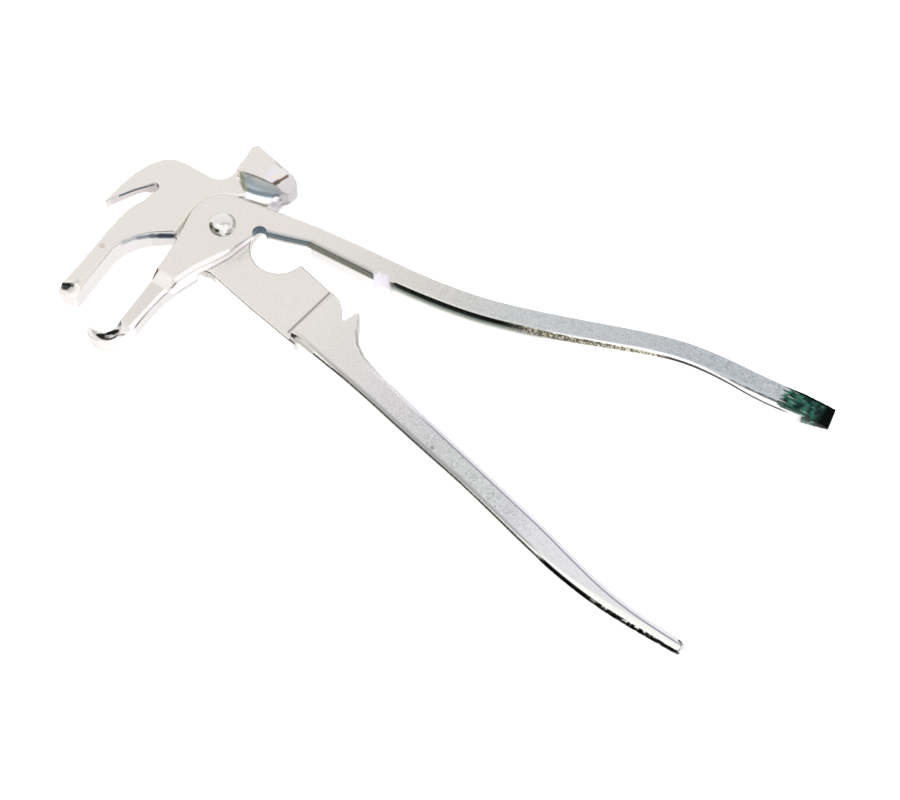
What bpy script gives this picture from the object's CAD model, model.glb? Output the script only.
# %% [markdown]
# Wheel weight pliers, dressed for a studio photograph.
# The real tool is two drop forgings on one rivet, plated all over.
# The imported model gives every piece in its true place, so this script starts by loading it.
# Its nodes are exact but hard edged. A real forging has soft edges, crowned sides, a slightly wavy skin and
# ground tips, and those are what the cells below add, one at a time.

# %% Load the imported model
import math

import bmesh
import bpy
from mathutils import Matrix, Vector


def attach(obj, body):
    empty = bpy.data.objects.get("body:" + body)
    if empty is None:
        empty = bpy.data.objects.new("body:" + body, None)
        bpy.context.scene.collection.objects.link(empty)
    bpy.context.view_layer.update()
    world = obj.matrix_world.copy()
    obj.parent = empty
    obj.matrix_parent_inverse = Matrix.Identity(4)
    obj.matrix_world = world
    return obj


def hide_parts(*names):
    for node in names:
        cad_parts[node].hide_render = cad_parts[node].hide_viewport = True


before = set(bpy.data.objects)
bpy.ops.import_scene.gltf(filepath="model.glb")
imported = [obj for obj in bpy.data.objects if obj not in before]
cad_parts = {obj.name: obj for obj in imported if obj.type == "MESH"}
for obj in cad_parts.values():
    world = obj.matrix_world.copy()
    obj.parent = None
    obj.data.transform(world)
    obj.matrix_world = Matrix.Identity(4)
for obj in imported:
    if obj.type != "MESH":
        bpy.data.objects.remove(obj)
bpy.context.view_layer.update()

MM = 0.001
scene = bpy.context.scene

# %% [markdown]
# The camera stands where the photographer stood: 0.8 m away, 63 degrees above the bench and 32 degrees
# round from the handles. A long lens keeps the perspective weak, as in most tool catalogues.
# The place and the aim are written in metres, so the picture frames itself.

# %% Place the camera
CAMERA_AT = Vector((0.29125, -0.32150, 0.71781))
CAMERA_TILT = 27
CAMERA_TURN = 32
LENS = 97.92

camera_data = bpy.data.cameras.new("studio_camera")
camera_data.lens = LENS
camera_data.sensor_width = 36
camera_data.dof.use_dof = False
camera = bpy.data.objects.new("studio_camera", camera_data)
camera.location = CAMERA_AT
camera.rotation_euler = (math.radians(CAMERA_TILT), 0, math.radians(CAMERA_TURN))
scene.collection.objects.link(camera)
scene.camera = camera
print("the camera stands", round(CAMERA_AT.length, 3), "m from the rivet")

# %% [markdown]
# Materials and the room are both node trees, so a few plain helpers come first: join two sockets, do a sum,
# stretch a value to another range, mix two colours, and read a noise.

# %% Helpers for node trees


def join(tree, value, socket):
    """Sets a socket to a number or a colour, or feeds it from another socket."""
    if isinstance(value, (int, float, tuple, Vector)):
        socket.default_value = value
    else:
        tree.links.new(value, socket)


def feed(tree, node, values):
    """Joins values to a node's inputs by their names, and gives the node back."""
    for name, value in values.items():
        join(tree, value, node.inputs[name])
    return node


def new_material(name):
    """A new material, its node tree and its shader."""
    material = bpy.data.materials.new(name)
    material.use_nodes = True
    return material, material.node_tree, material.node_tree.nodes["Principled BSDF"]


def sums(tree, operation, a, b=None, clamp=False):
    """A sum, a product or another plain operation on one or two values."""
    node = tree.nodes.new("ShaderNodeMath")
    node.operation = operation
    node.use_clamp = clamp
    join(tree, a, node.inputs[0])
    if b is not None:
        join(tree, b, node.inputs[1])
    return node.outputs[0]


def stretch(tree, value, low, high, to_low=0.0, to_high=1.0, smooth=False):
    """A value carried from one range to another, and held at its ends."""
    node = tree.nodes.new("ShaderNodeMapRange")
    node.interpolation_type = "SMOOTHSTEP" if smooth else "LINEAR"
    feed(tree, node, {"Value": value, "From Min": low, "From Max": high, "To Min": to_low, "To Max": to_high})
    return node.outputs["Result"]


def vectors(tree, operation, a, b=None):
    """The same as sums, but on vectors. SCALE takes a number as its second value."""
    node = tree.nodes.new("ShaderNodeVectorMath")
    node.operation = operation
    join(tree, a, node.inputs[0])
    if b is not None:
        join(tree, b, node.inputs[3] if operation == "SCALE" else node.inputs[1])
    return node.outputs[1] if operation in ("DOT_PRODUCT", "LENGTH") else node.outputs[0]


def split(tree, vector):
    """The x, y and z of a vector."""
    node = tree.nodes.new("ShaderNodeSeparateXYZ")
    join(tree, vector, node.inputs[0])
    return node.outputs


def mix(tree, share, a, b):
    """The colour a where the share is 0, and b where it is 1."""
    node = tree.nodes.new("ShaderNodeMix")
    node.data_type = "RGBA"
    join(tree, share, node.inputs[0])
    join(tree, a, node.inputs[6])
    join(tree, b, node.inputs[7])
    return node.outputs[2]


def noise(tree, vector, scale, detail=3.0, roughness=0.55):
    node = tree.nodes.new("ShaderNodeTexNoise")
    feed(tree, node, {"Vector": vector, "Scale": scale, "Detail": detail, "Roughness": roughness})
    return node.outputs[0]


def ramp(tree, value, stops):
    """A colour ramp from a list of (place, colour)."""
    node = tree.nodes.new("ShaderNodeValToRGB")
    node.color_ramp.interpolation = "LINEAR"
    have = node.color_ramp.elements
    while len(have) > 1:
        have.remove(have[0])
    for i, (place, colour) in enumerate(stops):
        stop = have[0] if i == 0 else have.new(place)
        stop.position = place
        stop.color = colour
    join(tree, value, node.inputs[0])
    return node.outputs[0]


print("helpers: join, feed, sums, stretch, vectors, split, mix, noise and ramp")

# %% [markdown]
# Bare plating has almost no colour of its own: it shows the room. In the photograph the edges that face the
# lower left read as a white line, then a black line, then a wall that fades to white, and the edges that face
# right stay pale. That tells what the room was: white all round, with a dark strip along the horizon at the
# lower left only, and a bright ceiling above it. So the room is two ramps over the height of a direction,
# one for the lower left and one for everywhere else.

# %% Build the room's light
STRIP_AT = -112
STRIP_HALF_WIDTH = 52
STRIP_BLUR = 9
# degrees above the horizon, brightness, warmth from -1 for blue to 1 for cream
STRIP_ROOM = [
    (-90, 0.99, 0.0), (-60, 0.96, 0.3), (-53, 0.80, 0.3), (-47, 0.30, 0.0), (-42, 0.04, -0.6),
    (-30, 0.02, -0.6), (2, 0.02, -0.4), (9, 0.12, 0.0), (14, 0.80, 0.3), (20, 1.30, 0.2),
    (40, 1.15, 0.0), (60, 0.98, 0.0), (90, 0.93, 0.1)]
OPEN_ROOM = [
    (-90, 0.99, 0.0), (-60, 0.95, 0.0), (-35, 0.90, -0.1), (-15, 0.88, -0.2), (0, 0.94, -0.1),
    (20, 1.02, 0.0), (45, 0.95, 0.1), (90, 0.93, 0.1)]


def tinted(value, warmth):
    """A grey of that brightness, leaning to cream or to blue."""
    return (value * (1 + 0.03 * warmth), value, value * (1 - 0.07 * warmth), 1)


def room_stops(room):
    return [((math.sin(math.radians(d)) + 1) / 2, tinted(v, w)) for d, v, w in room]


def build_room():
    world = bpy.data.worlds.new("studio_room")
    world.use_nodes = True
    tree = world.node_tree
    tree.nodes.clear()
    new = tree.nodes.new
    x, y, z = split(tree, new("ShaderNodeTexCoord").outputs["Generated"])
    turn = math.radians(STRIP_AT)
    ahead = sums(tree, "ADD", sums(tree, "MULTIPLY", x, math.cos(turn)),
                 sums(tree, "MULTIPLY", y, math.sin(turn)))
    flat = sums(tree, "SQRT", sums(tree, "SUBTRACT", 1.0001, sums(tree, "MULTIPLY", z, z)))
    facing = stretch(tree, sums(tree, "DIVIDE", ahead, flat),
                     math.cos(math.radians(STRIP_HALF_WIDTH + STRIP_BLUR)),
                     math.cos(math.radians(STRIP_HALF_WIDTH - STRIP_BLUR)), smooth=True)
    height = stretch(tree, z, -1, 1)
    room = mix(tree, facing, ramp(tree, height, room_stops(OPEN_ROOM)),
               ramp(tree, height, room_stops(STRIP_ROOM)))
    glow = new("ShaderNodeBackground")
    join(tree, room, glow.inputs["Color"])
    paper = new("ShaderNodeBackground")
    paper.inputs["Color"].default_value = (1, 1, 1, 1)
    ray = new("ShaderNodeLightPath")
    both = new("ShaderNodeMixShader")
    for i, value in enumerate((ray.outputs["Is Camera Ray"], glow.outputs[0], paper.outputs[0])):
        join(tree, value, both.inputs[i])
    join(tree, both.outputs[0], new("ShaderNodeOutputWorld").inputs[0])
    return world


scene.world = build_room()
print("the room has", len(STRIP_ROOM) + len(OPEN_ROOM), "stops of light")

# %% [markdown]
# A plain pale bench. In the studio it was a lit white table: shadows on it are faint, and metal shows it as
# part of the room. So the bench glows a little, takes a soft shadow from two large lamps, and is left out of
# the reflections, where the lower half of the room already stands for it.

# %% Lay the bench and hang the lamps
BENCH_SIZE = 6.0
BENCH_GLOW = 0.42
LAMP_AIM = Vector((0.09, 0, 0))


def build_bench():
    mesh = bpy.data.meshes.new("bench")
    h = BENCH_SIZE / 2
    mesh.from_pydata([(-h, -h, 0), (h, -h, 0), (h, h, 0), (-h, h, 0)], [], [(0, 1, 2, 3)])
    bench = bpy.data.objects.new("bench", mesh)
    scene.collection.objects.link(bench)
    white, tree, shader = new_material("lit_white_table")
    feed(tree, shader, {
        "Base Color": (0.9, 0.9, 0.895, 1), "Roughness": 0.9, "Specular IOR Level": 0.1,
        "Emission Color": (1, 1, 0.995, 1), "Emission Strength": BENCH_GLOW})
    mesh.materials.append(white)
    bench.visible_glossy = False


def hang_lamp(name, place, size, power, colour):
    data = bpy.data.lights.new(name, "AREA")
    data.shape = "DISK"
    data.size = size
    data.energy = power
    data.color = colour
    lamp = bpy.data.objects.new(name, data)
    lamp.location = place
    lamp.rotation_euler = (LAMP_AIM - Vector(place)).to_track_quat("-Z", "Y").to_euler()
    lamp.visible_glossy = False
    scene.collection.objects.link(lamp)


build_bench()
hang_lamp("ceiling_lamp", (-0.2, 0.5, 1.6), 2.0, 22, (1, 0.99, 0.97))
hang_lamp("fill_lamp", (1.1, -0.6, 1.1), 1.4, 8, (0.97, 0.98, 1))
scene.view_settings.view_transform = "Standard"
scene.cycles.use_denoising = True
print("the bench is", BENCH_SIZE, "m wide, under 2 lamps")

# %% [markdown]
# Plated forgings are never one grey. The skin under the plating keeps a sandy grain, finest round the joint,
# where the faces were ground before plating, and coarser along the handles. The grain is one node group:
# it gives a colour between a light and a dark tone, a roughness and a height for the bump.
# In the materials all places are in millimetres, so the marks below can be read off a drawing.

# %% Node group for the grain under the plating


def new_group(name, inputs, outputs, family="ShaderNodeTree"):
    """An empty node group with named sockets, and its two ends."""
    group = bpy.data.node_groups.new(name, family)
    for title, kind, *value in inputs:
        socket = group.interface.new_socket(name=title, in_out="INPUT", socket_type=kind)
        if value:
            socket.default_value = value[0]
    for title, kind in outputs:
        group.interface.new_socket(name=title, in_out="OUTPUT", socket_type=kind)
    return group, group.nodes.new("NodeGroupInput"), group.nodes.new("NodeGroupOutput")


def build_grain():
    group, given, result = new_group(
        "forged_grain",
        [("Vector", "NodeSocketVector", (0, 0, 0)),
         ("Light", "NodeSocketColor", (0.86, 0.85, 0.84, 1)),
         ("Depth", "NodeSocketFloat", 0.5)],
        [("Color", "NodeSocketColor"), ("Roughness", "NodeSocketFloat"),
         ("Height", "NodeSocketFloat")])
    vector, light, depth = given.outputs[:3]
    fine = noise(group, vector, 1.7, 3, 0.65)
    patches = stretch(group, noise(group, vector, 0.5, 2, 0.5), 0.36, 0.62, 0.3, 1)
    specks = sums(group, "MULTIPLY", stretch(group, fine, 0.46, 0.68), patches)
    sparks = stretch(group, fine, 0.44, 0.30)
    dark = mix(group, 0.62, light, (0.10, 0.13, 0.17, 1))
    colour = mix(group, sums(group, "MULTIPLY", specks, depth), light, dark)
    sparks = sums(group, "MULTIPLY", sparks, sums(group, "MULTIPLY", depth, 0.5))
    colour = mix(group, sparks, colour, (0.98, 0.98, 1, 1))
    join(group, colour, result.inputs["Color"])
    join(group, stretch(group, fine, 0.3, 0.7, 0.20, 0.34), result.inputs["Roughness"])
    join(group, sums(group, "MULTIPLY", fine, depth), result.inputs["Height"])
    return group


forged_grain = build_grain()
print("the grain group has", len(forged_grain.nodes), "nodes")

# %% [markdown]
# Some marks sit at one place: the hollows ground in the tips, the shade inside the claw, a pit in a face.
# Each is a soft brush stroke from one point to another, and the node group for it measures the distance to
# that line, so a stroke stays on the metal from every side.

# %% Node group for a brush stroke
# added to a stroke's squared length, so that one without length divides by something
NEVER_ZERO = 1e-3


def build_stroke():
    group, given, result = new_group(
        "brush_stroke",
        [("Vector", "NodeSocketVector", (0, 0, 0)),
         ("Start", "NodeSocketVector", (0, 0, 0)),
         ("End", "NodeSocketVector", (0, 0, 0)),
         ("Radius", "NodeSocketFloat", 1.0),
         ("Softness", "NodeSocketFloat", 0.5)],
        [("Mask", "NodeSocketFloat")])
    vector, start, end, radius, softness = given.outputs[:5]
    along = vectors(group, "SUBTRACT", end, start)
    reach = vectors(group, "SUBTRACT", vector, start)
    squared = vectors(group, "DOT_PRODUCT", along, along)
    share = sums(group, "DIVIDE", vectors(group, "DOT_PRODUCT", reach, along),
                 sums(group, "ADD", squared, NEVER_ZERO), clamp=True)
    nearest = vectors(group, "SCALE", along, share)
    away = vectors(group, "LENGTH", vectors(group, "SUBTRACT", reach, nearest))
    over = sums(group, "DIVIDE", sums(group, "SUBTRACT", away, radius), softness)
    join(group, stretch(group, over, -1, 1, 1, 0, smooth=True), result.inputs["Mask"])
    return group


brush_stroke = build_stroke()
print("the stroke group has", len(brush_stroke.nodes), "nodes")


def stroke(tree, where, start, end, radius, softness):
    """The mask of one stroke."""
    node = tree.nodes.new("ShaderNodeGroup")
    node.node_tree = brush_stroke
    feed(tree, node, {"Vector": where, "Start": Vector(start), "End": Vector(end), "Radius": radius,
                      "Softness": softness})
    return node.outputs["Mask"]


def strokes(tree, where, path, radius, softness):
    """One mask for a run of strokes through a list of points."""
    mask = stroke(tree, where, path[0], path[1], radius, softness)
    for a, b in zip(path[1:], path[2:]):
        mask = sums(tree, "MAXIMUM", mask, stroke(tree, where, a, b, radius, softness))
    return mask


# %% [markdown]
# Other marks run along a handle for its whole length: the bright bevel, the dark line under it, the wall that
# fades to white. They need to know how far a point lies from the handle's edges and below its top, so the
# handles' stations are written once, as x, middle, width and top, and a curve node is made from each column.

# %% Stations of the handles and zones along them
UPPER_HANDLE = [
    (45, 14.6, 7.2, 10), (60, 15.4, 7.6, 10), (75, 17, 7.8, 9.9), (90, 19.7, 7.8, 9.8),
    (104, 23.7, 7.8, 9.7), (118, 28.4, 7.9, 9.6), (132, 33.5, 7.9, 9.5), (145, 38.1, 7.8, 9.4),
    (157, 41.3, 7.6, 9.3), (169, 42.9, 7.3, 9.2), (180, 43.6, 7.1, 9.1), (190, 44.4, 7.0, 9.0),
    (208, 46.6, 7.2, 9.0)]
LOWER_HANDLE = [
    (46, -18, 9.4, 10), (60, -20.9, 9.6, 10), (75, -23.8, 9.9, 10), (90, -27.4, 9.6, 9.9),
    (105, -30.9, 9.4, 9.8), (120, -34.4, 9.0, 9.7), (135, -38.2, 9.2, 9.6), (150, -42.1, 9.4, 9.4),
    (162, -45, 8.65, 8.8), (174, -47.2, 7.3, 8.0), (185, -48.2, 6.1, 7.1), (195, -48.4, 5.2, 6.2),
    (204.7, -48.2, 4.5, 5.1)]
CURVE_LENGTH = 210
CURVE_HEIGHT = 120
# a step across a handle is a little longer in y than it is square to the handle
SQUARE_TO_HANDLE = 0.96
print("stations of the handles:", len(UPPER_HANDLE), "and", len(LOWER_HANDLE))


def curve(tree, x, points):
    """The value at x of a smooth line through (x, value) points, in millimetres."""
    node = tree.nodes.new("ShaderNodeFloatCurve")
    line = node.mapping.curves[0]
    spots = [(x0 / CURVE_LENGTH, v / CURVE_HEIGHT + 0.5) for x0, v in points]
    line.points[0].location = spots[0]
    line.points[1].location = spots[-1]
    for spot in spots[1:-1]:
        line.points.new(*spot)
    node.mapping.update()
    join(tree, sums(tree, "DIVIDE", x, CURVE_LENGTH), node.inputs["Value"])
    return sums(tree, "MULTIPLY", sums(tree, "SUBTRACT", node.outputs[0], 0.5), CURVE_HEIGHT)


def edge_points(handle, side):
    """Points of one edge of a handle, on the side -1 or 1 of its middle."""
    points = []
    for i, (x, middle, width, top) in enumerate(handle):
        a, b = handle[max(i - 1, 0)], handle[min(i + 1, len(handle) - 1)]
        slant = math.hypot(1, (b[1] - a[1]) / (b[0] - a[0]))
        points.append((x, middle + side * width / 2 * slant))
    return points


def places(tree, where, handle):
    """Where a point is: its place, and its distances in millimetres.

    The distances are axis, from the rivet's axis; low and high, from the handle's two edges; depth, below
    its top; and across, on the far side of the diagonal through the rivet.
    """
    x, y, z = split(tree, where)
    squares = sums(tree, "ADD", sums(tree, "MULTIPLY", x, x), sums(tree, "MULTIPLY", y, y))
    low = sums(tree, "SUBTRACT", y, curve(tree, x, edge_points(handle, -1)))
    high = sums(tree, "SUBTRACT", curve(tree, x, edge_points(handle, 1)), y)
    top = curve(tree, x, [(s[0], s[3]) for s in handle])
    return {"tree": tree, "where": where, "x": x, "y": y, "z": z,
            "axis": sums(tree, "SQRT", squares),
            "across": sums(tree, "SUBTRACT", y, x),
            "low": sums(tree, "MULTIPLY", low, SQUARE_TO_HANDLE),
            "high": sums(tree, "MULTIPLY", high, SQUARE_TO_HANDLE),
            "depth": sums(tree, "SUBTRACT", top, z)}


def zone(at, **limits):
    """A soft mask between limits, each (low, high, softness), with None for an open side."""
    tree, mask = at["tree"], None
    for name, (low, high, soft) in limits.items():
        for limit, a, b in ((low, 0, 1), (high, 1, 0)):
            if limit is not None:
                part = stretch(tree, at[name], limit - soft / 2, limit + soft / 2, a, b,
                               smooth=True)
                mask = part if mask is None else sums(tree, "MULTIPLY", mask, part)
    return mask


def times(tree, *masks):
    """Several masks in one: it is 1 only where they all are."""
    result = masks[0]
    for mask in masks[1:]:
        result = sums(tree, "MULTIPLY", result, mask)
    return result


# %% [markdown]
# The plating is a metal shader fed by the grain. Its tone changes along the tool: warm and light on the jaws
# and the thinned middle, darker and bluer on the handles, light again where the lower handle tapers.
# A mark is laid over it with a mask, and can change the tone, the roughness and how much it is bare metal:
# walls close to the bench carry a pale bloom from the plating bath, which is less metal and more white.

# %% Plated steel
ALONG_FROM, ALONG_TO = -40, 210
GRAIN_HEIGHT = 0.00004
GRAIN_STRENGTH = 0.8


def in_millimetres(tree):
    """A piece's own coordinates, in millimetres."""
    return vectors(tree, "SCALE", tree.nodes.new("ShaderNodeTexCoord").outputs["Object"], 1 / MM)


def bump(tree, height):
    """The normal of a skin with that height on it."""
    node = tree.nodes.new("ShaderNodeBump")
    feed(tree, node, {"Height": height, "Distance": GRAIN_HEIGHT, "Strength": GRAIN_STRENGTH})
    return node.outputs["Normal"]


def lay(skin, mask, tone, shine=None, metal=None):
    """Lays a tone, a roughness and a share of metal over the skin, where the mask is 1."""
    tree = skin["tree"]
    tone = tone + (1,) if isinstance(tone, tuple) else tone
    skin["colour"] = mix(tree, mask, skin["colour"], tone)
    for name, value in (("roughness", shine), ("metal", metal)):
        if value is not None:
            change = sums(tree, "MULTIPLY", mask, sums(tree, "SUBTRACT", value, skin[name]))
            skin[name] = sums(tree, "ADD", skin[name], change)


def paint(at, skin, *marks):
    """Lays marks, each a path, a radius, a softness, and then what lay takes after its mask."""
    for path, radius, softness, *look in marks:
        lay(skin, strokes(skin["tree"], at["where"], path, radius, softness), *look)


def share_along(x):
    """Where a place along x falls in a ramp, from 0 to 1."""
    return (x - ALONG_FROM) / (ALONG_TO - ALONG_FROM)


def plated_steel(name, handle, tones, depths, marks):
    """Plating with tones and grain depths at places along x, and functions that lay its marks."""
    material, tree, shader = new_material(name)
    at = places(tree, in_millimetres(tree), handle)
    along = stretch(tree, at["x"], ALONG_FROM, ALONG_TO)
    grain = tree.nodes.new("ShaderNodeGroup")
    grain.node_tree = forged_grain
    light = ramp(tree, along, [(share_along(x), tone + (1,)) for x, tone in tones])
    depth = ramp(tree, along, [(share_along(x), (d, d, d, 1)) for x, d in depths])
    feed(tree, grain, {"Vector": at["where"], "Light": light, "Depth": depth})
    skin = {"tree": tree, "colour": grain.outputs["Color"], "roughness": grain.outputs["Roughness"],
            "metal": 1.0}
    for mark in marks:
        mark(tree, at, skin)
    feed(tree, shader, {
        "Base Color": skin["colour"], "Roughness": skin["roughness"], "Metallic": skin["metal"],
        "Normal": bump(tree, grain.outputs["Height"])})
    return material


print("the plating's tones run over", ALONG_TO - ALONG_FROM, "mm")

# %% [markdown]
# Now the marks, one function for each part of a lever. Four tones come back in them: the black of the dark
# strip, the bloom of a plated wall, a paler one close to the bench, and a rosy one under the handle.
# The first mark is the running gap round the front cheek, which its own pale walls light from inside.

# %% Shared tones, and the gap at the joint
BLACK = (0.01, 0.014, 0.014)
BLOOM = (0.77, 0.72, 0.71)
PALE = (0.90, 0.88, 0.86)
ROSY = (0.90, 0.86, 0.86)


def joint_gap(tree, at, skin):
    ring = zone(at, axis=(11.2, 16.6, 0.3), z=(5.05, 9.65, 0.15), across=(1.5, None, 1))
    lay(skin, ring, (0.88, 0.85, 0.81), 0.5, 0.0)


front_marks, back_marks = [joint_gap], [joint_gap]
print("tones that the marks share:", BLACK, BLOOM, PALE, ROSY)

# %% [markdown]
# Front lever, round the joint. The drilled relief, the wall beside it and the anvil pad's slot are shade:
# they face the dark strip of the room at close quarters. The cheek and the jaw have a bright bevel, a
# lavender wall below it and a thin shade at its foot, so those follow one line, the rim, at three heights.

# %% Shade round the joint, and the edge of the cheek


def front_joint_marks(tree, at, skin):
    low_wall = zone(at, x=(13, 59, 2), y=(None, 12.6, 0.4), z=(None, 6.2, 2.0))
    lay(skin, low_wall, PALE, 0.4, 0.2)
    paint(at, skin,
          ([(13.6, 5.2, 8.4), (20, 7.1, 8.4), (28.4, 9.6, 8.4)], 1.6, 0.6, (0.16, 0.22, 0.25)),
          ([(29.6, 10, 7.7), (52.0, 10.9, 7.7)], 2.2, 0.6, (0.17, 0.18, 0.14)),
          ([(12.2, 4.2, 4), (12.2, 4.2, 9.2)], 2.5, 0.25, (0.09, 0.15, 0.19)))
    slot = zone(at, x=(53.4, 59.9, 0.3), y=(8, 14.5, 0.4), z=(None, 9.7, 0.2))
    lay(skin, slot, (0.80, 0.77, 0.84), 0.4, 0.1)


def front_cheek_marks(tree, at, skin):
    rim = [(10.0, 1.6), (8.9, -2.6), (7.6, -7.6), (4.4, -13.2), (1.7, -18.2), (-0.9, -25.3)]
    paint(at, skin,
          ([(x + 1.0, y - 0.8, 5.0) for x, y in rim], 3.1, 0.3, (0.93, 0.90, 0.94), 0.4, 0.3),
          ([(x + 1.2, y - 0.9, 4.9) for x, y in rim[:5]], 0.95, 0.3, (0.20, 0.17, 0.27)),
          ([(10.4, 2.9, 7.5), (9.2, -1.6, 8.8), (8.4, -4.6, 9.3)], 0.35, 0.3, (0.40, 0.42, 0.52)),
          ([(x - 0.2, y + 0.1, 9.3) for x, y in rim[2:]], 0.95, 0.25, (1, 0.99, 0.98)))
    # the thinned arm below the step: its side, the line on it and its bright bevel
    arm = zone(at, x=(-3.9, None, 0.3), y=(-48, -26.5, 1.5), z=(None, 6.7, 0.2))
    lay(skin, arm, (0.96, 0.92, 0.92))
    paint(at, skin,
          ([(-2.4, -30.0, 5.9), (-3.3, -38, 5.9), (-4.0, -47, 5.9)], 0.3, 0.2, (0.26, 0.23, 0.22)),
          ([(-2.9, -30.2, 7.1), (-3.7, -38, 7.1), (-4.4, -47, 7.1)], 0.8, 0.25, (1, 0.99, 0.98), 0.3, 0.2))


front_marks += [front_joint_marks, front_cheek_marks]
print("marks of the front lever so far:", len(front_marks))

# %% [markdown]
# Along the upper handle the marks follow its lower edge. Near the joint the side fades from a black line
# through a soft green-grey to white. In the middle it carries brown specks of scale, denser towards the
# joint. Near the tip a bright bevel runs down over the side and ends in a thin dark line.

# %% The upper handle's side


def upper_wall(at):
    return zone(at, low=(None, 0.75, 0.3))


def front_wall_marks(tree, at, skin):
    wall = upper_wall(at)
    shades = ramp(tree, stretch(tree, at["depth"], 0, 10), [
        (0.03, (0.85, 0.88, 0.74, 1)), (0.06, BLACK + (1,)), (0.23, BLACK + (1,)),
        (0.32, (0.27, 0.32, 0.29, 1)), (0.48, (0.58, 0.62, 0.58, 1)), (0.66, (0.95, 0.94, 0.93, 1))])
    fade = zone(at, x=(59.5, 118, 6), depth=(0.4, None, 0.3))
    lay(skin, times(tree, wall, fade), shades)
    white = zone(at, x=(59, 118, 5), depth=(5.4, None, 3))
    lay(skin, times(tree, wall, white), PALE, 0.4, 0.2)
    pale = zone(at, x=(112, 200, 12), depth=(1.9, None, 1.0))
    lay(skin, times(tree, wall, pale), ROSY, 0.45, 0.15)


def front_scale_marks(tree, at, skin):
    denser = stretch(tree, at["x"], 112, 150, 0.08, -0.02)
    rust = sums(tree, "ADD", noise(tree, at["where"], 1.3, 3, 0.7), denser)
    reach = stretch(tree, at["x"], 112, 152, 4.2, 2.2)
    scale = times(tree, upper_wall(at), zone(at, x=(104, 154, 12), depth=(0.5, None, 0.4)),
                  stretch(tree, sums(tree, "SUBTRACT", at["depth"], reach), -0.4, 0.4, 1, 0))
    specks = stretch(tree, rust, 0.44, 0.56)
    tone = mix(tree, specks, (0.80, 0.74, 0.60, 1), (0.09, 0.08, 0.05, 1))
    lay(skin, scale, tone, 0.35, 0.3)


def front_bevel_marks(tree, at, skin):
    wall = upper_wall(at)
    above = zone(at, x=(157, 192, 10), low=(0.05, 1.6, 0.2), depth=(0.15, 1.5, 0.3))
    lay(skin, above, (0.48, 0.51, 0.54))
    # how far the bevel reaches in over the face, and how far down the side its foot lies
    reach = curve(tree, at["x"], [
        (65, 0.35), (98, 0.5), (127, 0.75), (155, 0.85), (164, 0.55), (173, 0.25), (182, 0.15), (194, 0.2)])
    foot = curve(tree, at["x"], [
        (65, 0.45), (98, 0.6), (140, 0.8), (155, 1.0), (164, 1.45), (173, 2.5), (183, 4.1), (194, 4.2)])
    under = sums(tree, "SUBTRACT", at["depth"], foot)
    gone = sums(tree, "SUBTRACT", at["low"], reach)
    bevel = times(tree, stretch(tree, gone, -0.2, 0.2, 1, 0, smooth=True),
                  stretch(tree, under, -0.1, 0.1, 1, 0, smooth=True), zone(at, x=(72, 193, 14)))
    lay(skin, bevel, (0.99, 0.985, 0.97), 0.3, 0.3)
    below = times(tree, wall, stretch(tree, under, 0.1, 0.4), zone(at, x=(153, 196, 4)))
    lay(skin, below, ROSY, 0.45, 0.1)
    off = sums(tree, "ABSOLUTE", sums(tree, "SUBTRACT", under, 0.5))
    line = times(tree, wall, stretch(tree, off, 0.4, 0.75, 1, 0), zone(at, x=(150, 194, 6)))
    lay(skin, line, (0.05, 0.04, 0.04), 0.3, 0.3)


front_marks += [front_wall_marks, front_scale_marks, front_bevel_marks]
print("marks of the front lever so far:", len(front_marks))

# %% [markdown]
# The hooked toe was ground with a small wheel, so its hollow is a dark mirror: three black strokes round a
# grey and a white one. Its outer walls carry the pale bloom. Two dark spots sit at the corners of the step.

# %% The hooked toe


def front_jaw_marks(tree, at, skin):
    lay(skin, zone(at, y=(-46.5, -29, 3), z=(6.6, None, 0.3)), (0.79, 0.75, 0.71))
    # outer walls of the toe, but not its hollow
    hollow = stroke(tree, at["where"], (-11.4, -51.6, 10), (-11.4, -51.6, 10.1), 6.35, 0.2)
    toe = zone(at, y=(None, -47, 3), z=(None, 6.6, 0.4))
    lay(skin, times(tree, toe, sums(tree, "SUBTRACT", 1, hollow)), BLOOM, 0.4, 0.15)
    lay(skin, zone(at, y=(None, -48.5, 3), z=(6.4, None, 0.4)), (0.95, 0.92, 0.92))
    paint(at, skin,
          ([(-12.7, -55.0, 5.2), (-11.0, -55.1, 5.3), (-8.3, -53.9, 5.7), (-7.1, -52.4, 5.8)], 0.8, 0.3,
           BLACK, 0.08),
          ([(-12.0, -54.4, 4.8), (-10.4, -53.0, 4.4), (-9.0, -51.6, 4.3)], 1.05, 0.3, BLACK, 0.08),
          ([(-10.6, -52.2, 4.1), (-9.2, -50.7, 4.3), (-7.9, -50.2, 5.0)], 0.85, 0.3, BLACK, 0.08),
          ([(-10.6, -53.5, 4.4), (-9.4, -52.4, 4.5)], 0.4, 0.35, (0.45, 0.46, 0.45)),
          ([(-9.2, -52.9, 4.7), (-8.5, -52.2, 4.8)], 0.4, 0.25, (0.95, 0.95, 0.95)),
          ([(-6.6, -52.0, 7), (-4.4, -50.6, 7)], 0.28, 0.25, (0.34, 0.28, 0.22)),
          # spots at the corners of the step
          ([(-8.6, -25.9, 9.6), (-9, -28.4, 7.6)], 0.5, 0.35, (0.16, 0.10, 0.07)),
          ([(-1.2, -26.2, 7.6), (-1.9, -27.6, 6.8)], 0.55, 0.3, (0.12, 0.09, 0.07)))


front_marks.append(front_jaw_marks)
print("marks of the front lever so far:", len(front_marks))

# %% [markdown]
# The wedge tip is bare ground steel, darkened green-black by heat and oil, with bright scratches left by the
# grinding wheel along it. The scratches are a noise stretched along their own direction.

# %% The ground wedge
WEDGE_FROM = 190.5
WEDGE_TURN = -7
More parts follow.
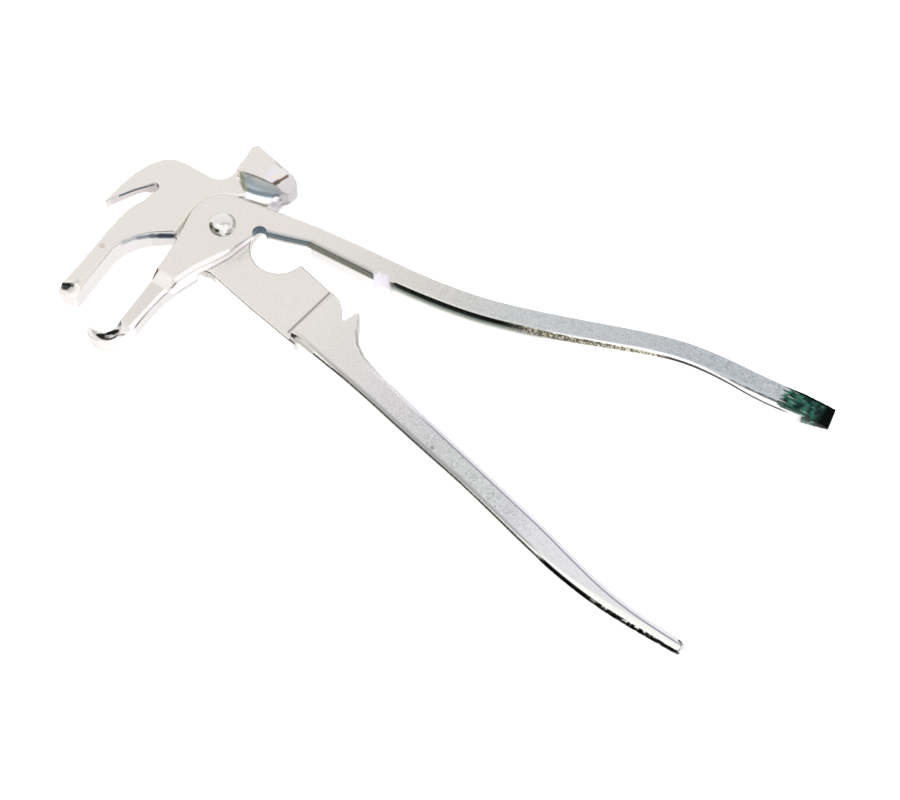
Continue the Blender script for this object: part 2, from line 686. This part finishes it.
# how much the noise is squeezed along, across and through the wedge
SCRATCH_SCALE = (0.24, 2.0, 0.5)


def ground_wedge(tree, at, skin):
    turn = tree.nodes.new("ShaderNodeMapping")
    turn.inputs["Rotation"].default_value = (0, 0, math.radians(WEDGE_TURN))
    join(tree, at["where"], turn.inputs["Vector"])
    squeeze = tree.nodes.new("ShaderNodeMapping")
    squeeze.inputs["Scale"].default_value = SCRATCH_SCALE
    join(tree, turn.outputs[0], squeeze.inputs["Vector"])
    scratch = noise(tree, squeeze.outputs[0], 1.0, 2, 0.5)
    cloud = noise(tree, at["where"], 0.42, 2, 0.5)
    # it starts at a ragged line, and leaves the foot of the side plated
    ragged = sums(tree, "ADD", at["x"], stretch(tree, scratch, 0.3, 0.7, -1.8, 1.8))
    mask = stretch(tree, ragged, WEDGE_FROM, WEDGE_FROM + 0.8, smooth=True)
    foot = zone(at, x=(None, 199, 1.2), low=(None, 0.6, 0.3), depth=(3.3, None, 0.5))
    mask = times(tree, mask, sums(tree, "SUBTRACT", 1, foot))
    # green clouds, bright scratches, and black at the tip and along the far edge
    ends = stretch(tree, at["x"], 202.5, 205.5, smooth=True)
    rim = zone(at, high=(None, 1.1, 0.6))
    clouds = stretch(tree, cloud, 0.40, 0.62)
    tone = mix(tree, clouds, (0.010, 0.028, 0.024, 1), (0.042, 0.16, 0.115, 1))
    bright = times(tree, stretch(tree, scratch, 0.60, 0.70), sums(tree, "SUBTRACT", 1, ends))
    tone = mix(tree, bright, tone, (0.42, 0.52, 0.47, 1))
    tone = mix(tree, sums(tree, "MAXIMUM", ends, rim), tone, (0.004, 0.006, 0.006, 1))
    lay(skin, mask, tone)


front_marks.append(ground_wedge)
print("the wedge is ground from", WEDGE_FROM, "mm, the last of", len(front_marks), "marks")

# %% [markdown]
# With its marks ready, the front lever is plated. Its tone goes from warm at the jaws to blue-grey at the
# tip, and its grain gets deeper on the way.

# %% Plate the front lever
steel_front = plated_steel(
    "plated_steel_front", UPPER_HANDLE,
    [(-30, (0.84, 0.80, 0.765)), (20, (0.84, 0.80, 0.765)), (45, (0.80, 0.77, 0.74)),
     (69, (0.74, 0.72, 0.69)), (90, (0.66, 0.66, 0.655)), (104, (0.62, 0.64, 0.65)),
     (135, (0.59, 0.61, 0.63)), (168, (0.52, 0.55, 0.59)), (195, (0.56, 0.59, 0.62))],
    [(-30, 0.12), (30, 0.18), (70, 0.42), (104, 0.55), (135, 0.8), (170, 0.95)],
    front_marks)
print("the front plating has", len(steel_front.node_tree.nodes), "nodes")

# %% [markdown]
# Back lever, the hammer head. Its hollow flank is a blue-grey mirror with an olive rim, over a white
# shoulder, and a brown patch shows where its corner was dressed on a grinder.

# %% The hammer head


def head_marks(tree, at, skin):
    lay(skin, zone(at, x=(3, 9, 3), y=(19, 27, 2), z=(13.8, None, 0.2)), (0.88, 0.86, 0.92))
    end_wall = zone(at, x=(7.4, None, 1), y=(17, None, 1), z=(None, 12.8, 1.0))
    lay(skin, end_wall, (0.74, 0.69, 0.72))
    paint(at, skin,
          # white shoulder at the head's foot, with two grey lines under it
          ([(-2.4, 14.0, 8.2), (2.3, 15.7, 7.6), (5.0, 16.4, 7.4), (8.0, 19.4, 6.6)], 1.5, 0.4,
           (0.93, 0.92, 0.94), 0.4, 0.0),
          ([(-1.9, 13.0, 8.0), (1.3, 14.2, 7.0), (3.9, 15.1, 6.4), (6.4, 16.1, 5.2)], 0.45, 0.3,
           (0.36, 0.34, 0.33), 0.4, 0.2),
          ([(8.2, 17.9, 4.9), (9.5, 20.4, 2.8), (11.9, 21.7, 4.2)], 0.9, 0.7, (0.42, 0.43, 0.45), 0.4, 0.2),
          # the hollow flank: its upper part, its middle, its dark foot and its olive end
          ([(-2.6, 19.0, 12.2), (2.0, 19.6, 12.0), (7.0, 20.5, 11.8)], 1.7, 0.5,
           (0.48, 0.51, 0.50), 0.3, 0.5),
          ([(-2.4, 18.2, 10.6), (0.5, 17.9, 9.4), (4.8, 18.7, 9.3), (8.4, 20.2, 9.6)], 2.0, 0.7,
           (0.36, 0.41, 0.45), 0.3, 0.5),
          ([(-1.3, 16.8, 8.1), (1.9, 17.3, 8.2), (5.2, 18.3, 8.6), (8.6, 20.0, 8.4)], 0.8, 0.5,
           (0.16, 0.20, 0.23), 0.3, 0.5),
          ([(-5.0, 19.0, 12.4), (-4.4, 18.2, 10.4), (-2.4, 16.7, 8.2)], 0.75, 0.35,
           (0.27, 0.28, 0.20), 0.3, 0.5),
          # its lip, a warm spot, the dressed corner and a scratch
          ([(-4.2, 19.1, 13.6), (-0.9, 19.7, 13.8), (2.8, 20.2, 13.7), (6.4, 20.7, 13.4)], 0.32, 0.2,
           (0.22, 0.22, 0.19)),
          ([(5.6, 22.2, 14), (7.2, 24.6, 14)], 0.9, 0.8, (0.93, 0.84, 0.76)),
          ([(7.4, 20.9, 13.7), (8.0, 22.4, 13.6)], 0.75, 0.4, (0.14, 0.11, 0.08), 0.3),
          ([(8.2, 22.8, 13.6), (9.2, 26.0, 13.2)], 0.5, 0.35, (0.20, 0.14, 0.11), 0.3),
          ([(3.3, 28.2, 14), (5.6, 27.5, 14)], 0.4, 0.5, (0.52, 0.51, 0.55)))


back_marks.append(head_marks)
print("marks of the back lever so far:", len(back_marks))

# %% [markdown]
# The upper jaw carries a dark strip under its arc, thicker towards the joint, and a black hollow in its
# tip. The claw's slot is pale with a dark line along its far wall.

# %% The claw and the upper jaw


def upper_jaw_marks(tree, at, skin):
    inner_wall = zone(at, x=(None, -11.5, 1), y=(None, -8.5, 1), z=(None, 9.2, 0.3))
    lay(skin, inner_wall, (0.97, 0.93, 0.92))
    claw_slot = zone(at, x=(-38, -26, 1), y=(-12, 3, 1), z=(None, 9.3, 0.3))
    lay(skin, claw_slot, BLOOM, 0.4, 0.4)
    paint(at, skin,
          ([(-27.6, 1.4, 8.4), (-30.4, 0.6, 8.4), (-36.6, -8.4, 9.0)], 0.55, 0.3, (0.08, 0.11, 0.16)),
          ([(-27.0, 0.2, 8.2), (-27.8, 1.6, 8.2)], 0.8, 0.3, (0.07, 0.09, 0.12)),
          # the dark strip under the arc
          ([(-25.0, -22.6, 8.2), (-22.2, -18.4, 8.0)], 0.9, 0.9, (0.46, 0.50, 0.54)),
          ([(-21.8, -17.9, 7.6), (-18.8, -15.0, 7.2)], 1.2, 0.9, (0.24, 0.28, 0.33)),
          ([(-18.6, -14.9, 7.0), (-16.8, -13.4, 6.8)], 1.35, 0.8, (0.13, 0.16, 0.20)),
          ([(-16.2, -13.0, 6.7), (-13.6, -11.2, 6.4)], 1.6, 0.8, (0.02, 0.04, 0.07)))
    end_wall = zone(at, x=(None, -24, 1), y=(None, -47.9, 0.6), z=(None, 7.6, 0.3))
    lay(skin, end_wall, BLOOM, 0.4, 0.1)
    paint(at, skin,
          # the hollow in the tip: its pale side, then its grey, its two blacks and the line that leaves it
          ([(-28.6, -51.8, 13), (-28.6, -51.8, 13.1)], 7.75, 0.15, (0.73, 0.69, 0.66), 0.4, 0.1),
          ([(-31.8, -47.0, 8.4), (-30.2, -46.6, 8.0)], 1.6, 1.5, (0.40, 0.38, 0.35), 0.15, 0.3),
          ([(-33.2, -47.2, 9.0), (-31.5, -46.4, 8.7), (-29.6, -45.5, 9.2)], 0.75, 0.35, BLACK, 0.15, 0.3),
          ([(-31.9, -47.4, 7.9), (-31.0, -46.9, 7.7), (-30.6, -46.2, 8.4)], 0.65, 0.35, BLACK, 0.15, 0.3),
          ([(-29.6, -45.4, 9.4), (-28.3, -43.6, 9.9)], 0.4, 0.5, (0.25, 0.25, 0.23), 0.15, 0.3),
          ([(-28.3, -43.6, 10), (-27.6, -40.9, 10), (-27.1, -37, 10), (-26.7, -29, 10)], 0.15, 0.25,
           (0.55, 0.50, 0.44), 0.15, 0.3),
          # a small pit in the face of the jaw
          ([(-29.5, -28.3, 10), (-29.5, -28.2, 10)], 0.8, 0.3, (0.60, 0.54, 0.46)),
          ([(-29.5, -28.3, 10), (-29.5, -28.2, 10)], 0.35, 0.2, (0.82, 0.78, 0.73)))


back_marks.append(upper_jaw_marks)
print("marks of the back lever so far:", len(back_marks))

# %% [markdown]
# The thinned middle ends in a step, drawn by one soft line. The lower handle has a clean ground bevel along
# its upper edge. Its lower one is muted near the joint and bright where the handle tapers, and below that
# the side is black, broken up towards the round end.

# %% The lower handle


def lower_bevel_marks(tree, at, skin):
    paint(at, skin,
          ([(43.4, -0.6, 4.9), (40.0, -20.4, 4.9)], 0.42, 0.25, (0.38, 0.35, 0.35)))
    # pale walls close to the bench
    lap_wall = zone(at, x=(7, 44, 2), y=(-26, -8.5, 1), z=(None, 4.3, 0.3))
    lay(skin, lap_wall, PALE, 0.45, 0.1)
    wall = zone(at, low=(None, 0.9, 0.4))
    foot = zone(at, x=(45, 208, 2), depth=(2.3, None, 1.2))
    lay(skin, times(tree, wall, foot), PALE, 0.45, 0.15)
    muted = times(tree, zone(at, low=(0.45, 1.7, 0.35)), zone(at, x=(45, 152, 12)))
    lay(skin, muted, ramp(tree, stretch(tree, at["x"], 45, 150), [
        (0, (0.66, 0.64, 0.62, 1)), (0.4, (0.58, 0.575, 0.58, 1)), (0.7, (0.53, 0.54, 0.54, 1)),
        (1, (0.59, 0.59, 0.60, 1))]), 0.5)
    reach = curve(tree, at["x"], [(50, 0.75), (140, 0.85), (155, 1.3), (170, 2.2), (185, 2.7), (206, 2.8)])
    inside = stretch(tree, sums(tree, "SUBTRACT", at["low"], reach), -0.2, 0.2, 1, 0, smooth=True)
    bright = times(tree, inside, zone(at, x=(47, 208, 3), depth=(None, 2.2, 0.3)))
    lay(skin, bright, (0.99, 0.98, 0.94), 0.2)
    # the corner where the bevel starts, and the wall under it
    paint(at, skin,
          ([(44.6, -22.9, 7.2), (45.6, -22.7, 8.5), (51.5, -24.0, 8.6)], 0.95, 0.45,
           (0.50, 0.48, 0.46), 0.45, 0.3))


def lower_end_marks(tree, at, skin):
    # black side of the taper
    broken = stretch(tree, noise(tree, at["where"], 0.9, 2, 0.5), 0.40, 0.50, 0.25, 1)
    whole = stretch(tree, at["x"], 172, 182, 1, 0)
    black = times(tree, zone(at, x=(153, 205.5, 5), depth=(0.6, 2.5, 0.4)),
                  zone(at, low=(None, 1.0, 0.3)), sums(tree, "MAXIMUM", broken, whole))
    lay(skin, black, BLACK, 0.15, 1)
    # ground bevel above, with a grey line where it starts
    lay(skin, zone(at, x=(73, 208, 8), high=(None, 1.9, 0.25)), (0.91, 0.89, 0.94), 0.25)
    lay(skin, zone(at, x=(96, 206, 10), high=(1.75, 2.3, 0.35)), (0.33, 0.34, 0.40))
    # a dent, and the ring round the end
    paint(at, skin,
          ([(104.2, -33, 9.8), (104.6, -33.3, 9.8)], 0.5, 0.4, (0.30, 0.37, 0.33)),
          ([(203.8, -47.0, 5.0), (204.9, -47.7, 4.8), (205.2, -49.0, 4.5), (204.5, -50.1, 4.0)], 0.45, 0.25,
           BLACK, 0.1))


back_marks += [lower_bevel_marks, lower_end_marks]
print("marks of the back lever:", len(back_marks))

# %% [markdown]
# The back lever is plated the same way. It stays warm from the claw to the step, turns grey and coarse along
# the handle, and is light and smooth again where the handle tapers.

# %% Plate the back lever
steel_back = plated_steel(
    "plated_steel_back", LOWER_HANDLE,
    [(-39, (0.85, 0.81, 0.77)), (0, (0.85, 0.81, 0.77)), (45, (0.84, 0.80, 0.77)),
     (55, (0.81, 0.785, 0.755)), (75, (0.77, 0.75, 0.75)), (90, (0.72, 0.70, 0.715)),
     (105, (0.68, 0.68, 0.69)), (121, (0.68, 0.70, 0.69)), (138, (0.72, 0.72, 0.745)),
     (147, (0.82, 0.815, 0.84)), (170, (0.84, 0.83, 0.86)), (205, (0.86, 0.85, 0.88))],
    [(-39, 0.08), (45, 0.14), (75, 0.4), (95, 0.7), (121, 1.0), (140, 0.8), (160, 0.3), (205, 0.2)],
    back_marks)
print("the back plating has", len(steel_back.node_tree.nodes), "nodes")

# %% [markdown]
# A forging's skin follows rules: edges worn soft by the die, sides crowned towards the parting line, and a
# slow wave where the metal cooled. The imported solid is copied, closed up and rebuilt on a fine even grid,
# which rounds each edge by about the size of the grid. A Geometry Nodes tree then crowns the handles' sides
# and lays the wave on them, and leaves the lapped faces of the joint flat, because they slide on each other.

# %% Geometry Nodes tree for the forging's skin
LAP_HEIGHT = 5 * MM
LAP_BAND = 0.5 * MM
WAVE_HEIGHT = 0.05 * MM
WAVE_LENGTH = 7 * MM
CROWN = 0.45 * MM
# places along x, in metres: where the crown starts, where the handles thin out, and the drawn end
CROWN_FROM, CROWN_FULL = 0.058, 0.066
THIN_FROM, THIN_TO = 0.140, 0.205
DRAWN_FROM, DRAWN_TO = 0.190, 0.206
FULL_THICKNESS = 0.0098


def build_skin_tree():
    tree, given, result = new_group(
        "forging_skin",
        [("Geometry", "NodeSocketGeometry"), ("Wave height", "NodeSocketFloat", WAVE_HEIGHT),
         ("Wave length", "NodeSocketFloat", WAVE_LENGTH), ("Crown", "NodeSocketFloat", CROWN),
         ("End thickness", "NodeSocketFloat", 9 * MM), ("Drawn end", "NodeSocketFloat", 0.0),
         ("Finish", "NodeSocketMaterial")],
        [("Geometry", "NodeSocketGeometry")], "GeometryNodeTree")
    new = tree.nodes.new
    place = new("GeometryNodeInputPosition").outputs[0]
    normal = new("GeometryNodeInputNormal").outputs[0]
    x, y, z = split(tree, place)
    facing = split(tree, normal)

    # the wave, kept off the lapped faces
    waves = noise(tree, place, sums(tree, "DIVIDE", 1, given.outputs["Wave length"]), 1)
    wave = sums(tree, "MULTIPLY", sums(tree, "SUBTRACT", waves, 0.5), given.outputs["Wave height"])
    off_lap = sums(tree, "ABSOLUTE", sums(tree, "SUBTRACT", z, LAP_HEIGHT))
    wave = sums(tree, "MULTIPLY", wave, sums(tree, "GREATER_THAN", off_lap, LAP_BAND))

    # the crown: a side leans in above and below its own middle, more so further out
    thickness = stretch(tree, x, THIN_FROM, THIN_TO, FULL_THICKNESS, given.outputs["End thickness"])
    half = sums(tree, "MULTIPLY", thickness, 0.5)
    lean = sums(tree, "DIVIDE", sums(tree, "SUBTRACT", z, half), half)
    lean = sums(tree, "MULTIPLY", lean, lean)
    side = stretch(tree, sums(tree, "ABSOLUTE", facing[2]), 0.35, 0.75, 1, 0, smooth=True)
    out_there = stretch(tree, x, CROWN_FROM, CROWN_FULL, smooth=True)
    crown = times(tree, lean, side, out_there, given.outputs["Crown"])

    level = new("ShaderNodeCombineXYZ")
    feed(tree, level, {"X": facing[0], "Y": facing[1]})
    offset = vectors(tree, "SUBTRACT", vectors(tree, "SCALE", normal, wave),
                     vectors(tree, "SCALE", level.outputs[0], crown))
    # the round end of the lower handle, drawn out a little more than its packed ball
    tail = new("ShaderNodeCombineXYZ")
    below = sums(tree, "LESS_THAN", y, 0)
    drawn = times(tree, stretch(tree, x, DRAWN_FROM, DRAWN_TO, smooth=True), below,
                  given.outputs["Drawn end"])
    join(tree, drawn, tail.inputs["X"])
    offset = vectors(tree, "ADD", offset, tail.outputs[0])
    move = feed(tree, new("GeometryNodeSetPosition"), {
        "Geometry": given.outputs["Geometry"], "Offset": offset})
    coat = feed(tree, new("GeometryNodeSetMaterial"), {
        "Geometry": move.outputs[0], "Material": given.outputs["Finish"]})
    join(tree, coat.outputs[0], result.inputs["Geometry"])
    return tree


skin_tree = build_skin_tree()
print("the skin tree has", len(skin_tree.nodes), "nodes")

# %% [markdown]
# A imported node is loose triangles, so a copy of it is closed up before anything else. Remesh lays the even
# grid, Smooth wears the edges, and the tree above comes last. The result is turned into a plain mesh, which
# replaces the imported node, rides on its body and fills its slot.

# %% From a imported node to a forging
MERGE_WITHIN = 2e-6


def tree_input(tree, title):
    """The identifier of a tree's input socket."""
    return next(s.identifier for s in tree.interface.items_tree
                if s.name == title and s.in_out == "INPUT")


def closed_copy(node):
    """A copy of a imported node's mesh with its loose triangles joined."""
    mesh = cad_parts[node].data.copy()
    work = bmesh.new()
    work.from_mesh(mesh)
    bmesh.ops.remove_doubles(work, verts=work.verts, dist=MERGE_WITHIN)
    work.to_mesh(mesh)
    work.free()
    return mesh


def forging(node, body, finish, grid, passes, end_thickness, drawn_end):
    """A soft-edged forging in place of a hard-edged node."""
    piece = bpy.data.objects.new(node + "_forging", closed_copy(node))
    scene.collection.objects.link(piece)
    rebuild = piece.modifiers.new("even_grid", "REMESH")
    rebuild.mode = "VOXEL"
    rebuild.voxel_size = grid
    soften = piece.modifiers.new("soft_edges", "SMOOTH")
    soften.factor = 0.5
    soften.iterations = passes
    skin = piece.modifiers.new("skin", "NODES")
    skin.node_group = skin_tree
    for title, value in (("Wave height", WAVE_HEIGHT), ("Wave length", WAVE_LENGTH),
                         ("Crown", CROWN), ("End thickness", end_thickness),
                         ("Drawn end", drawn_end), ("Finish", finish)):
        skin[tree_input(skin_tree, title)] = value
    ready = bpy.context.evaluated_depsgraph_get()
    mesh = bpy.data.meshes.new_from_object(piece.evaluated_get(ready))
    piece.modifiers.clear()
    piece.data = mesh
    mesh.name = piece.name
    mesh.shade_smooth()
    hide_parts(node)
    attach(piece, body)
    print(piece.name, "has", sum(len(p.vertices) - 2 for p in mesh.polygons), "triangles")


print("corners within", MERGE_WITHIN * 1e6, "thousandths of a millimetre are joined")

# %% [markdown]
# The back lever thins from 9.8 mm to 5.1 mm at its round end, which is drawn out by 1.7 mm. It is the larger
# forging, so its grid is the coarser one, and both stay under 200,000 triangles.

# %% Forge the back lever
forging("back_lever", "back", steel_back, grid=0.42 * MM, passes=3,
        end_thickness=5.1 * MM, drawn_end=1.7 * MM)

# %% [markdown]
# The front lever keeps almost its full thickness up to the wedge, and its small hooked toe needs the finer
# grid.

# %% Forge the front lever
forging("front_lever", "front", steel_front, grid=0.36 * MM, passes=3,
        end_thickness=9 * MM, drawn_end=0.0)

# %% [markdown]
# The rivet is turned, not forged: a countersunk end flush with the back, a shank, and a domed head that was
# set with a cupped punch, so its dome is full at the rim and almost flat in the middle. A profile is spun
# about the axis, in the rivet's packed place and inside its packed size.

# %% Turn the rivet
DOME_RADIUS = 4.65
DOME_FROM = 10.05
DOME_HEIGHT = 1.7
DOME_FULLNESS = 2.2
DOME_RINGS = 28


def turned_rivet(profile, around=128):
    """A closed body from a profile of (radius, height) that starts and ends on the axis."""
    points = []
    faces = []
    for radius, height in profile[1:-1]:
        for i in range(around):
            turn = 2 * math.pi * i / around
            points.append((radius * math.cos(turn) * MM, radius * math.sin(turn) * MM, height * MM))
    rings = len(profile) - 2
    for r in range(rings - 1):
        for i in range(around):
            k = (i + 1) % around
            low, high = r * around, (r + 1) * around
            faces.append((low + i, low + k, high + k, high + i))
    bottom = len(points)
    points.append((0, 0, profile[0][1] * MM))
    points.append((0, 0, profile[-1][1] * MM))
    for i in range(around):
        k = (i + 1) % around
        faces.append((bottom, k, i))
        faces.append((bottom + 1, (rings - 1) * around + i, (rings - 1) * around + k))
    mesh = bpy.data.meshes.new("pivot_rivet_turned")
    mesh.from_pydata(points, [], faces)
    mesh.shade_smooth()
    return mesh


def dome_height(radius):
    """The height of the dome's skin at a distance from the axis, in millimetres."""
    return DOME_FROM + DOME_HEIGHT * max(0, 1 - (radius / DOME_RADIUS) ** DOME_FULLNESS) ** 0.5


def rivet_profile():
    """Flush back end, countersink, shank and dome, in millimetres."""
    profile = [(0, 0), (2, 0), (4.15, 0), (4.27, 0.03), (4.3, 0.1), (3.1, 1.25), (3.0, 1.4), (3.0, 5),
               (3.0, 9.9), (3.05, DOME_FROM), (DOME_RADIUS - 0.1, DOME_FROM)]
    for i in range(DOME_RINGS):
        radius = DOME_RADIUS * math.cos(math.radians(90 * i / DOME_RINGS))
        profile.append((radius, dome_height(radius) + (0.02 if i == 0 else 0)))
    return profile + [(0, dome_height(0))]


print("the dome stands", dome_height(0), "mm above the bench")

# %% [markdown]
# The dome is polished by its punch, so it mirrors the room. What makes it read as a dome in the photograph is
# a dark crescent at its lower left and two white smears near the middle. They are painted with the same
# brush strokes, each lifted to the dome's own height.

# %% Polish the rivet


def polished_rivet():
    """Polished metal with the smears that the punch left on the dome."""
    material, tree, shader = new_material("polished_rivet")
    at = {"where": in_millimetres(tree)}
    tone = noise(tree, at["where"], 0.8, 3, 0.6)
    skin = {"tree": tree, "colour": mix(tree, tone, (0.88, 0.86, 0.84, 1), (0.80, 0.79, 0.78, 1)),
            "roughness": stretch(tree, tone, 0.3, 0.7, 0.08, 0.15), "metal": 1.0}
    dark, olive = (0.02, 0.025, 0.018), (0.19, 0.19, 0.15)
    grey, white = (0.42, 0.41, 0.40), (1, 1, 0.98)
    for path, radius, softness, colour in (
            ([(0.46, -0.5), (2.4, 0.7)], 0.45, 0.5, (0.62, 0.60, 0.59)),
            ([(-0.6, -2.1), (1.0, -1.9), (2.02, -1.85)], 0.65, 0.45, white),
            ([(1.99, -0.5), (2.7, -2.3)], 0.55, 0.4, white),
            ([(0.4, 3.9), (2.02, 3.5), (3.0, 2.6)], 0.5, 0.5, (0.58, 0.57, 0.57)),
            ([(2.9, 2.9), (3.6, 2.0), (4.0, 0.9)], 0.55, 0.4, grey),
            ([(-3.1, -2.4), (-2.3, -3.2), (-1.3, -3.7), (0.3, -3.7)], 0.75, 0.3, olive),
            ([(-1.0, -4.2), (0.79, -4.33), (1.8, -4.1)], 0.55, 0.35, (0.28, 0.28, 0.23)),
            ([(-2.5, -2.9), (-2.1, -3.3)], 0.3, 0.25, dark),
            ([(0.0, -3.55), (0.7, -3.4)], 0.4, 0.25, dark),
            ([(3.5, -2.7), (4.2, -1.6)], 0.35, 0.25, olive),
            ([(3.7, -1.5), (4.1, -0.5)], 0.5, 0.4, (0.45, 0.44, 0.40))):
        path = [(x, y, dome_height(math.hypot(x, y))) for x, y in path]
        paint(at, skin, (path, radius, softness, colour))
    feed(tree, shader, {
        "Base Color": skin["colour"], "Roughness": skin["roughness"], "Metallic": skin["metal"]})
    return material


rivet_mesh = turned_rivet(rivet_profile())
rivet_mesh.materials.append(polished_rivet())
rivet = bpy.data.objects.new("pivot_rivet_turned", rivet_mesh)
scene.collection.objects.link(rivet)
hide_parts("pivot_rivet")
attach(rivet, "back")
print("the rivet has", len(rivet_mesh.polygons), "faces")
